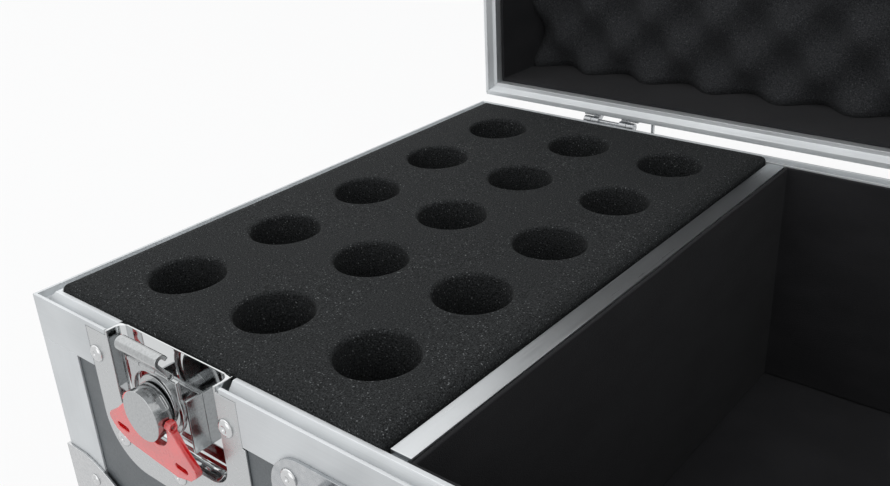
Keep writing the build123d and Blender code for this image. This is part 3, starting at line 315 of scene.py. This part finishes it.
# ---------------------------------------------------------------------------------------------
# Panels: seven-millimetre birch plywood faced both sides with a grey, finely pebbled laminate,
# cut square and held in the extrusions. The divider is the same board.
LAMINATE = paint(100, 105, 108)
LAMINATE_DARK = paint(86, 91, 94)
PANEL_EDGE = 0.0002
PEBBLES = 900
PEBBLE_DEPTH = 0.00006
LAMINATE_CLOUDS = 90
LAMINATE_FIBRES = 1800
laminate = finish("grey_laminate", LAMINATE, 0.46)
pebbles = grain(laminate, PEBBLES, pattern="cells")
clouds = grain(laminate, LAMINATE_CLOUDS, detail=6)
fibres = grain(laminate, LAMINATE_FIBRES, detail=2)
shade(laminate, spread(laminate, fibres, NOISE_BAND), LAMINATE_DARK, LAMINATE)
polish(laminate, spread(laminate, clouds, NOISE_BAND, 0.44, 0.52))
relief(laminate, pebbles, PEBBLE_DEPTH)
for half, deck in (("base", "floor"), ("lid", "top")):
    for side in ("front", "right", "rear", "left", deck):
        dress(f"{half}_{side}_panel", laminate, PANEL_EDGE)
dress("divider_panel", laminate, PANEL_EDGE)

# ---------------------------------------------------------------------------------------------
# Ball corners: deep-drawn steel, bright nickel plate, with a faint ripple from the press. Each
# is riveted through the panels on all three faces.
NICKEL = paint(196, 197, 198)
NICKEL_DULL = paint(182, 184, 186)
PRESS_RIPPLE = 60
RIPPLE_DEPTH = 0.00008
SCUFFS = 700
SCUFF_COLOUR_BAND = (0.3, 0.6)
SCUFF_POLISH_BAND = (0.35, 0.7)
CORNER_EDGE = 0.0004
corner_steel = finish("corner_steel", NICKEL, 0.2, metallic=1.0)
ripple = grain(corner_steel, PRESS_RIPPLE, detail=3)
scuffs = grain(corner_steel, SCUFFS, detail=6, roughness=0.7)
shade(corner_steel, spread(corner_steel, scuffs, SCUFF_COLOUR_BAND), NICKEL_DULL, NICKEL)
polish(corner_steel, spread(corner_steel, scuffs, SCUFF_POLISH_BAND, 0.26, 0.18))
relief(corner_steel, ripple, RIPPLE_DEPTH)
for half in ("base", "lid"):
    dress(f"{half}_ball_corners", corner_steel, CORNER_EDGE)

# ---------------------------------------------------------------------------------------------
# Rivets: cupped nickel-plated heads, pressed down by the riveting die, which leaves a raised
# ring round a small dimple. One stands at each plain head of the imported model.
RIVET_PROFILE = [
    (0.0, 0.42), (0.16, 0.42), (0.24, 0.62), (0.36, 0.94), (0.52, 1.0),
    (0.72, 0.9), (0.9, 0.6), (1.0, 0.2), (1.0, 0.0),
]
RIVET_STEPS = 28
RIVET_STEEL = paint(202, 203, 204)
RIVET_MARKS = 900
RIVET_MARK_DEPTH = 0.00002
RIVET_WELD = 0.000005
SEAT_BAND = 1 / 8
rivet_steel = finish("rivet_steel", RIVET_STEEL, 0.17, metallic=1.0)
rivet_marks = grain(rivet_steel, RIVET_MARKS, detail=4)
polish(rivet_steel, spread(rivet_steel, rivet_marks, NOISE_BAND, 0.12, 0.28))
relief(rivet_steel, rivet_marks, RIVET_MARK_DEPTH)


def islands(shape):
    """The separate bodies of a mesh, each as a list of its vertices."""
    left = set(shape.verts)
    while left:
        start = left.pop()
        body = [start]
        for vert in body:
            for edge in vert.link_edges:
                other = edge.other_vert(vert)
                if other in left:
                    left.remove(other)
                    body.append(other)
        yield body


def merged_copy(node):
    """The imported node's mesh with its facets joined."""
    shape = bmesh.new()
    shape.from_mesh(nodes[node].data)
    bmesh.ops.remove_doubles(shape, verts=shape.verts, dist=WELD_REACH)
    return shape


def place_piece(shape, name, made, body):
    """Turn a finished bmesh into a piece that rides on a body and takes its finish from a slot."""
    bmesh.ops.recalc_face_normals(shape, faces=shape.faces)
    mesh = bpy.data.meshes.new(name)
    shape.to_mesh(mesh)
    shape.free()
    mesh.shade_smooth()
    mesh.materials.append(made)
    piece = bpy.data.objects.new(name, mesh)
    bpy.context.collection.objects.link(piece)
    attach(piece, body)
    return piece


def head_seat(body):
    """The middle of a plain head's foot, the way it faces, its radius and its height."""
    low = Vector([min(vert.co[i] for vert in body) for i in range(3)])
    high = Vector([max(vert.co[i] for vert in body) for i in range(3)])
    size = high - low
    axis = min(range(3), key=lambda i: size[i])
    middle = (low + high) / 2
    reach = {}
    for end in (low.freeze(), high.freeze()):
        rim = [vert for vert in body if abs(vert.co[axis] - end[axis]) < size[axis] * SEAT_BAND]
        reach[end] = max((vert.co - middle).length for vert in rim)
    foot = max(reach, key=reach.get)
    facing = Vector([0, 0, 0])
    facing[axis] = -1 if foot is high else 1
    seat = middle.copy()
    seat[axis] = foot[axis]
    return seat, facing, max(size) / 2, size[axis]


def rivet_set(node, name, body):
    """Cupped heads in place of a node's plain ones."""
    plain = merged_copy(node)
    heads = bmesh.new()
    for island in islands(plain):
        seat, facing, radius, height = head_seat(island)
        turned = facing.to_track_quat("Z", "Y").to_matrix().to_4x4()
        profile = [heads.verts.new((radius * out, 0, height * up)) for out, up in RIVET_PROFILE]
        line = [heads.edges.new(pair) for pair in zip(profile, profile[1:])]
        bmesh.ops.spin(
            heads, geom=profile + line, axis=(0, 0, 1), cent=(0, 0, 0), angle=2 * pi,
            steps=RIVET_STEPS, use_merge=True,
        )
        made_now = [vert for vert in heads.verts if vert.is_valid and not vert.tag]
        bmesh.ops.transform(heads, matrix=Matrix.Translation(seat) @ turned, verts=made_now)
        for vert in made_now:
            vert.tag = True
    plain.free()
    bmesh.ops.remove_doubles(heads, verts=heads.verts, dist=RIVET_WELD)
    rims = [edge for edge in heads.edges if edge.is_boundary]
    bmesh.ops.holes_fill(heads, edges=rims, sides=0)
    piece = place_piece(heads, name, rivet_steel, body)
    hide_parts(node)


rivet_set("base_rivets", "cupped_base_rivets", "case_base")
rivet_set("lid_rivets", "cupped_lid_rivets", "lid")

# ---------------------------------------------------------------------------------------------
# Latch dishes: one pressing of chrome-plated steel each. The flange keeps a satin face from the
# blank, and the deep-drawn pocket is bright: smoother, and also painted lighter as a painted
# reflection of its shine. Keeper dishes in the lid are the same.
CHROME_WITH_PAINTED_SHINE = paint(206, 208, 209)
SATIN = paint(190, 192, 193)
DISH_FACE_LEVEL = 0.0006
DRAW_MARKS = 700
DRAW_MARK_DEPTH = 0.000002
DISH_RIPPLE = 45
DISH_RIPPLE_DEPTH = 0.00012
DISH_EDGE = 0.00035
dish_steel = finish("dish_steel", CHROME_WITH_PAINTED_SHINE, 0.1, metallic=1.0)
tree = dish_steel.node_tree
front_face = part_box("latch_dishes")[0].y
flange_to_pocket = (front_face + DISH_FACE_LEVEL, front_face + 2 * DISH_FACE_LEVEL)
draw_marks = grain(dish_steel, DRAW_MARKS, detail=4)
satin = spread(dish_steel, draw_marks, NOISE_BAND, 0.25, 0.36)
bright = spread(dish_steel, draw_marks, NOISE_BAND, 0.02, 0.06)
apart = tree.nodes.new("ShaderNodeSeparateXYZ")
place = tree.nodes.new("ShaderNodeTexCoord")
tree.links.new(place.outputs["Object"], apart.inputs["Vector"])
depth = spread(dish_steel, apart.outputs["Y"], flange_to_pocket)
mix = tree.nodes.new("ShaderNodeMix")
tree.links.new(depth, mix.inputs["Factor"])
tree.links.new(satin, mix.inputs["A"])
tree.links.new(bright, mix.inputs["B"])
polish(dish_steel, mix.outputs["Result"])
# Colour by depth: the pocket is painted lighter than the flange, a painted reflection of its
# shine; the roughness change above is real.
shade(dish_steel, depth, SATIN, CHROME_WITH_PAINTED_SHINE)
relief(dish_steel, grain(dish_steel, DISH_RIPPLE, detail=1), DISH_RIPPLE_DEPTH)
relief(dish_steel, draw_marks, DRAW_MARK_DEPTH)
dress("latch_dishes", dish_steel, DISH_EDGE)
dress("keeper_dishes", dish_steel, DISH_EDGE)

# ---------------------------------------------------------------------------------------------
# Latch works: spindle, yoke, hook, guide and keeper, blanked and formed from steel, then tumbled
# and plated. Shear marks stay on the cut edges, so the plate is a little uneven.
LATCH_STEEL = paint(170, 172, 173)
LATCH_DARK = paint(164, 166, 167)
LATCH_LIGHT = paint(176, 178, 179)
LATCH_EDGE = 0.0003
THIN_LATCH_EDGE = 0.0002
TUMBLE_MARKS = 900
TUMBLE_DEPTH = 0.000003
TUMBLE_BAND = (0.3, 0.6)
latch_steel = finish("latch_steel", LATCH_STEEL, 0.2, metallic=1.0)
tumble = grain(latch_steel, TUMBLE_MARKS, detail=4, roughness=0.6)
shade(latch_steel, spread(latch_steel, tumble, TUMBLE_BAND), LATCH_DARK, LATCH_LIGHT)
polish(latch_steel, spread(latch_steel, tumble, NOISE_BAND, 0.12, 0.2))
relief(latch_steel, tumble, TUMBLE_DEPTH)
for side in ("left", "right"):
    for piece in ("spindle", "yoke", "hook"):
        dress(f"{side}_latch_{piece}", latch_steel, LATCH_EDGE)
dress("latch_guides", latch_steel, THIN_LATCH_EDGE)
dress("keeper_hooks", latch_steel, THIN_LATCH_EDGE)

# ---------------------------------------------------------------------------------------------
# Wings: glossy red turns, die-cast and lacquered, one hinged on each spindle's head.
WING_RED = paint(236, 10, 16)
WING_DEEP = paint(214, 6, 12)
WING_EDGE = 0.0004
LACQUER_FLOW = 120
CASTING_GRAIN = 1400
CASTING_DEPTH = 0.00001
wing_red = finish("wing_red", WING_RED, 0.28)
wing_shader = wing_red.node_tree.nodes["Principled BSDF"]
wing_shader.inputs["Specular IOR Level"].default_value = 0.1
wing_shader.inputs["Coat Weight"].default_value = 1.0
wing_shader.inputs["Coat Roughness"].default_value = 0.06
wing_shader.inputs["Coat IOR"].default_value = 2.3
flow = grain(wing_red, LACQUER_FLOW, detail=4)
shade(wing_red, spread(wing_red, flow, MIDDLE_BAND), WING_DEEP, WING_RED)
polish(wing_red, spread(wing_red, flow, NOISE_BAND, 0.22, 0.36))
relief(wing_red, grain(wing_red, CASTING_GRAIN, detail=2), CASTING_DEPTH)
for side in ("left", "right"):
    dress(f"{side}_latch_wing", wing_red, WING_EDGE)

# ---------------------------------------------------------------------------------------------
# Hinges and handle: zinc-plated steel, pressed leaves riveted to both halves, and a bent bail
# that swings in two lugs on a stadium-shaped plate.
ZINC = paint(182, 184, 186)
ZINC_LIGHT = paint(190, 192, 194)
ZINC_DARK = paint(174, 177, 180)
ZINC_EDGE = 0.0002
SPANGLE = 260
SPANGLE_BAND = (0.1, 0.9)
RUBBED_MARKS = 700
RUBBED_DEPTH = 0.00002
zinc_steel = finish("zinc_steel", ZINC, 0.28, metallic=1.0)
spangle = grain(zinc_steel, SPANGLE, pattern="cells")
rubbed = grain(zinc_steel, RUBBED_MARKS, detail=5)
shade(zinc_steel, spread(zinc_steel, spangle, SPANGLE_BAND), ZINC_LIGHT, ZINC_DARK)
polish(zinc_steel, spread(zinc_steel, rubbed, NOISE_BAND, 0.2, 0.36))
relief(zinc_steel, rubbed, RUBBED_DEPTH)
for node in ("hinge_base_leaves", "hinge_lid_leaves", "hinge_pins", "handle_plate", "handle_bail"):
    dress(node, zinc_steel, ZINC_EDGE)

# ---------------------------------------------------------------------------------------------
# Bored foam: a block of charcoal polyether foam cut with a hot wire and bored for fifteen
# microphones. Cut edges round over a little, and the open cells catch the light as specks.
FOAM_RIM = 0.002
FOAM_RIM_STEPS = 3
FOAM_CUTS = 0.009
FOAM_EDGE_BAND = 0.007
FOAM_BAND_CUTS = 4
FOAM_EDGE_DROP = 0.0022
FOAM_SWELL = 0.0005
FOAM_SWELL_WAVES = 26
FOAM_DARK = paint(6, 7, 8)
FOAM_LIGHT = paint(61, 63, 64)
# The speck colour is a painted highlight, where cell walls catch the light.
FOAM_SPECK_HIGHLIGHT = paint(128, 130, 131)
FOAM_CELLS = 1500
FOAM_ROUGHNESS = 0.95
FOAM_BAND = (0.36, 0.64)
SPECK_HIGHLIGHT_BAND = (0.765, 0.83)
CELLS_TO_A_LUMP = 9
PITS_TO_A_CELL = 0.8
LUMP_DEPTH = 0.0003
PIT_DEPTH = 0.0004
SHARP_ANGLE = 1.0
CUT_REACH = 0.00002


def foam_finish(name, dark, light, speck_highlight, cells_per_metre):
    """Open-celled foam: mottled, pitted, and with a scatter of painted highlights on lit cell
    walls.
    """
    made = finish(name, light, FOAM_ROUGHNESS)
    made.node_tree.nodes["Principled BSDF"].inputs["Specular IOR Level"].default_value = 0.2
    fine = grain(made, cells_per_metre, detail=3, roughness=0.7)
    coarse = grain(made, cells_per_metre / CELLS_TO_A_LUMP, detail=4, roughness=0.6)
    pits = grain(made, cells_per_metre * PITS_TO_A_CELL, pattern="cells")
    shade(made, spread(made, fine, FOAM_BAND), dark, light)
    tree = made.node_tree
    base = tree.nodes["Principled BSDF"].inputs["Base Color"]
    mottle = base.links[0].from_socket
    # Sparse bright specks mixed into the colour: painted highlights where the cell walls catch the
    # light.
    speck_highlight_scatter = grain(made, cells_per_metre, detail=0)
    glint = tree.nodes.new("ShaderNodeMix")
    glint.data_type = "RGBA"
    glint.inputs["B"].default_value = (*speck_highlight, 1)
    tree.links.new(spread(made, speck_highlight_scatter, SPECK_HIGHLIGHT_BAND), glint.inputs["Factor"])
    tree.links.new(mottle, glint.inputs["A"])
    tree.links.new(glint.outputs["Result"], base)
    relief(made, coarse, LUMP_DEPTH)
    relief(made, pits, PIT_DEPTH)
    return made


def cut_across(shape, axis, places):
    """Divide a mesh with flat cuts square to one axis."""
    direction = Vector([0, 0, 0])
    direction[axis] = 1
    for place in places:
        point = direction * place
        bmesh.ops.bisect_plane(
            shape, geom=list(shape.verts) + list(shape.edges) + list(shape.faces),
            plane_co=point, plane_no=direction, dist=CUT_REACH,
        )


def steps_between(low, high, pitch):
    """Evenly spaced places between two ends."""
    count = round((high - low) / pitch)
    return [low + (high - low) * i / count for i in range(1, count)]


charcoal_foam = foam_finish("charcoal_foam", FOAM_DARK, FOAM_LIGHT, FOAM_SPECK_HIGHLIGHT, FOAM_CELLS)
low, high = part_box("drop_foam")
block = merged_copy("drop_foam")
bmesh.ops.dissolve_limit(block, angle_limit=FLAT_BELOW, verts=block.verts, edges=block.edges)
rims = [
    edge for edge in block.edges
    if edge.calc_face_angle(0) > SHARP_ANGLE
    and all(vert.co.z > high.z - FOAM_RIM / 2 for vert in edge.verts)
]
bmesh.ops.bevel(
    block, geom=rims, offset=FOAM_RIM, segments=FOAM_RIM_STEPS, profile=0.5, material=-1,
    affect="EDGES", clamp_overlap=False,
)
for axis in (0, 1):
    band_cuts = [FOAM_EDGE_BAND * i / FOAM_BAND_CUTS for i in range(1, FOAM_BAND_CUTS + 1)]
    ends = [low[axis] + inset for inset in band_cuts] + [high[axis] - inset for inset in band_cuts]
    middle_cuts = steps_between(low[axis] + FOAM_EDGE_BAND, high[axis] - FOAM_EDGE_BAND, FOAM_CUTS)
    cut_across(block, axis, ends + middle_cuts)
for vert in block.verts:
    if vert.co.z < high.z - 2 * FOAM_RIM:
        continue
    inset = min(vert.co.x - low.x, high.x - vert.co.x, vert.co.y - low.y, high.y - vert.co.y)
    band = max(0, 1 - inset / FOAM_EDGE_BAND)
    swell = noise.noise(vert.co * FOAM_SWELL_WAVES) * FOAM_SWELL
    vert.co.z += swell * (1 - band) - FOAM_EDGE_DROP * band ** 2
bored_foam = place_piece(block, "bored_foam", charcoal_foam, "case_base")
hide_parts("drop_foam")
bored_foam.modifiers.new("even_shading", "WEIGHTED_NORMAL")

# ---------------------------------------------------------------------------------------------
# Soft linings: black foam-backed velour on the store's walls and floor and round the lid, and
# a plain foam pad under the bored block. All are cut from sheet and glued in.
LINING_EDGE = 0.0006
LINING_EDGE_STEPS = 3
LINING_CUTS = 0.012
LINING_WAVE = 0.0005
LINING_WAVES = 40
VELOUR = paint(38, 38, 40)
VELOUR_DARK = paint(36, 36, 38)
VELOUR_LIGHT = paint(42, 42, 44)
PILE = 3000
PILE_DEPTH = 0.00025
NAP = (24, 24, 60)
velour = finish("black_velour", VELOUR, 0.9)
velour_shader = velour.node_tree.nodes["Principled BSDF"]
velour_shader.inputs["Sheen Weight"].default_value = 0.04
velour_shader.inputs["Sheen Roughness"].default_value = 0.4
velour_shader.inputs["Specular IOR Level"].default_value = 0.2
pile = grain(velour, PILE, detail=2)
nap = grain(velour, NAP, detail=3)
shade(velour, spread(velour, nap, MIDDLE_BAND), VELOUR_DARK, VELOUR_LIGHT)
relief(velour, pile, PILE_DEPTH)


def soft_cut(node, name, made, body, rim):
    """A glued-in piece of sheet or foam, its edges soft and its free edge a little uneven."""
    low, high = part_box(node)
    shape = merged_copy(node)
    bmesh.ops.dissolve_limit(shape, angle_limit=FLAT_BELOW, verts=shape.verts, edges=shape.edges)
    edges = [edge for edge in shape.edges if edge.calc_face_angle(0) > SHARP_ANGLE]
    bmesh.ops.bevel(
        shape, geom=edges, offset=LINING_EDGE, segments=LINING_EDGE_STEPS, profile=0.5,
        material=-1, affect="EDGES", clamp_overlap=False,
    )
    for axis in (0, 1, 2):
        cut_across(shape, axis, steps_between(low[axis], high[axis], LINING_CUTS))
    axis, end = rim
    for vert in shape.verts:
        if abs(vert.co[axis] - (low, high)[end][axis]) < 2 * LINING_EDGE:
            wave = LINING_WAVE * (0.5 + noise.noise(vert.co * LINING_WAVES))
            vert.co[axis] -= (2 * end - 1) * wave
    piece = place_piece(shape, name, made, body)
    piece.modifiers.new("even_shading", "WEIGHTED_NORMAL")
    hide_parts(node)


TOP_RIM = (2, 1)
LID_RIM = (1, 0)
soft_cut("storage_wall_lining", "store_lining", velour, "case_base", TOP_RIM)
soft_cut("storage_floor_pad", "store_pad", velour, "case_base", TOP_RIM)
soft_cut("lid_wall_lining", "lid_lining", velour, "lid", LID_RIM)
soft_cut("drop_foam_pad", "foam_pad", charcoal_foam, "case_base", TOP_RIM)

# ---------------------------------------------------------------------------------------------
# Lid foam: dark egg-crate foam, cut in two matched waves from one slab and glued to the lid's
# top, so that its peaks press on what the case holds.
CRATE_PITCH = 0.045
CRATE_HEIGHT = 0.0145
CRATE_STEPS = 9
CRATE_DARK = paint(30, 31, 33)
CRATE_LIGHT = paint(62, 63, 65)
# The speck colour is a painted highlight, where cell walls catch the light.
CRATE_SPECK_HIGHLIGHT = paint(82, 83, 85)
CRATE_CELLS = 1300
crate_foam = foam_finish("egg_crate_foam", CRATE_DARK, CRATE_LIGHT, CRATE_SPECK_HIGHLIGHT, CRATE_CELLS)
low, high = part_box("lid_foam")
size = high - low
peaks = [round(size.x / CRATE_PITCH), round(size.z / CRATE_PITCH)]
crate = bmesh.new()
bmesh.ops.create_grid(
    crate, x_segments=peaks[0] * CRATE_STEPS, y_segments=peaks[1] * CRATE_STEPS, size=0.5
)
face_verts = list(crate.verts)
rim = [edge for edge in crate.edges if edge.is_boundary]
skirt = bmesh.ops.extrude_edge_only(crate, edges=rim)["geom"]
back = [vert for vert in skirt if isinstance(vert, bmesh.types.BMVert)]
for vert in face_verts:
    across, up = vert.co.x + 0.5, vert.co.y + 0.5
    wave = cos(2 * pi * peaks[0] * across) * cos(2 * pi * peaks[1] * up)
    rise = CRATE_HEIGHT * (0.5 + 0.5 * wave)
    vert.co = (low.x + size.x * across, low.y + CRATE_HEIGHT - rise, low.z + size.z * up)
for vert in back:
    vert.co = (low.x + size.x * (vert.co.x + 0.5), high.y, low.z + size.z * (vert.co.y + 0.5))
bmesh.ops.holes_fill(crate, edges=[edge for edge in crate.edges if edge.is_boundary], sides=0)
egg_crate = place_piece(crate, "egg_crate_foam", crate_foam, "lid")
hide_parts("lid_foam")

# ---------------------------------------------------------------------------------------------
# Grip: a moulded rubber sleeve pulled over the bail, ringed so that it doesn't slip in the hand.
RINGS = 14
RING_DEPTH = 0.00055
GRIP_AROUND = 40
GRIP_STEPS = 6
END_ROUND = 0.0015
RUBBER = paint(30, 31, 32)
RUBBER_DARK = paint(26, 27, 28)
RUBBER_BLOOMED = paint(40, 41, 42)
RUBBER_GRAIN = 1200
RUBBER_GRAIN_DEPTH = 0.00006
BLOOM = 60
rubber = finish("black_rubber", RUBBER, 0.62)
rubber_grain = grain(rubber, RUBBER_GRAIN, detail=3)
bloom = grain(rubber, BLOOM, detail=4)
shade(rubber, spread(rubber, bloom, NOISE_BAND), RUBBER_DARK, RUBBER_BLOOMED)
polish(rubber, spread(rubber, rubber_grain, NOISE_BAND, 0.5, 0.72))
relief(rubber, rubber_grain, RUBBER_GRAIN_DEPTH)
low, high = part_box("handle_grip")
middle = (low + high) / 2
half = (high - low) / 2
bar_radius = (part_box("handle_bail")[1].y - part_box("handle_bail")[0].y) / 2
sleeve = bmesh.new()
rings_at = [i / (RINGS * GRIP_STEPS) for i in range(RINGS * GRIP_STEPS + 1)]
loop = bmesh.ops.create_circle(sleeve, segments=GRIP_AROUND, radius=1.0)["verts"]
rows = [loop]
edges = list(sleeve.edges)
for _ in rings_at[1:]:
    grown = bmesh.ops.extrude_edge_only(sleeve, edges=edges)["geom"]
    edges = [item for item in grown if isinstance(item, bmesh.types.BMEdge)]
    loop = [item for item in grown if isinstance(item, bmesh.types.BMVert)]
    rows.append(loop)
for share, row in zip(rings_at, rows):
    groove = RING_DEPTH * (0.5 - 0.5 * cos(2 * pi * RINGS * share))
    from_end = min(share, 1 - share) * 2 * half.x
    shrink = max(0, 1 - from_end / END_ROUND) ** 2 * END_ROUND
    for vert in row:
        around = (vert.co.x, vert.co.y)
        vert.co.x = low.x + 2 * half.x * share
        vert.co.y = middle.y + (half.y - groove - shrink) * around[0]
        vert.co.z = middle.z + (half.z - groove - shrink) * around[1]
for row in (rows[0], rows[-1]):
    end_edges = [edge for edge in sleeve.edges if edge.is_boundary and edge.verts[0] in row]
    inner = bmesh.ops.extrude_edge_only(sleeve, edges=end_edges)["geom"]
    for vert in inner:
        if isinstance(vert, bmesh.types.BMVert):
            arm = Vector((0, vert.co.y - middle.y, vert.co.z - middle.z)).normalized() * bar_radius
            vert.co = (vert.co.x, middle.y + arm.y, middle.z + arm.z)
bmesh.ops.bridge_loops(sleeve, edges=[edge for edge in sleeve.edges if edge.is_boundary])
grip = place_piece(sleeve, "ringed_grip", rubber, "handle")
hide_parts("handle_grip")

# ---------------------------------------------------------------------------------------------
# Feet: moulded rubber cones with a soft edge and a washered screw up the middle of each.
FOOT_PROFILE = [
    (0.0, 4.2), (3.0, 4.2), (3.6, 3.9), (4.0, 3.4), (4.0, 2.6), (5.9, 2.5), (6.0, 1.0), (6.6, 0.3),
    (7.6, 0.0), (15.4, 0.0), (16.6, 0.4), (17.2, 1.5), (19.0, 11.25), (0.0, 11.25),
]
FOOT_STEPS = 48
MM_PER_METRE = 1000
FOOT_REACH = FOOT_PROFILE[-2][0] / MM_PER_METRE
low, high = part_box("rubber_feet")
feet = bmesh.new()
for x in (low.x + FOOT_REACH, high.x - FOOT_REACH):
    for y in (low.y + FOOT_REACH, high.y - FOOT_REACH):
        profile = [
            feet.verts.new((x + out / MM_PER_METRE, y, up / MM_PER_METRE))
            for out, up in FOOT_PROFILE
        ]
        line = [feet.edges.new(pair) for pair in zip(profile, profile[1:])]
        bmesh.ops.spin(
            feet, geom=profile + line, axis=(0, 0, 1), cent=(x, y, 0), angle=2 * pi,
            steps=FOOT_STEPS, use_merge=True,
        )
bmesh.ops.remove_doubles(feet, verts=feet.verts, dist=WELD_REACH)
foot_set = place_piece(feet, "screwed_feet", rubber, "case_base")
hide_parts("rubber_feet")
foot_set.modifiers.new("even_shading", "WEIGHTED_NORMAL")
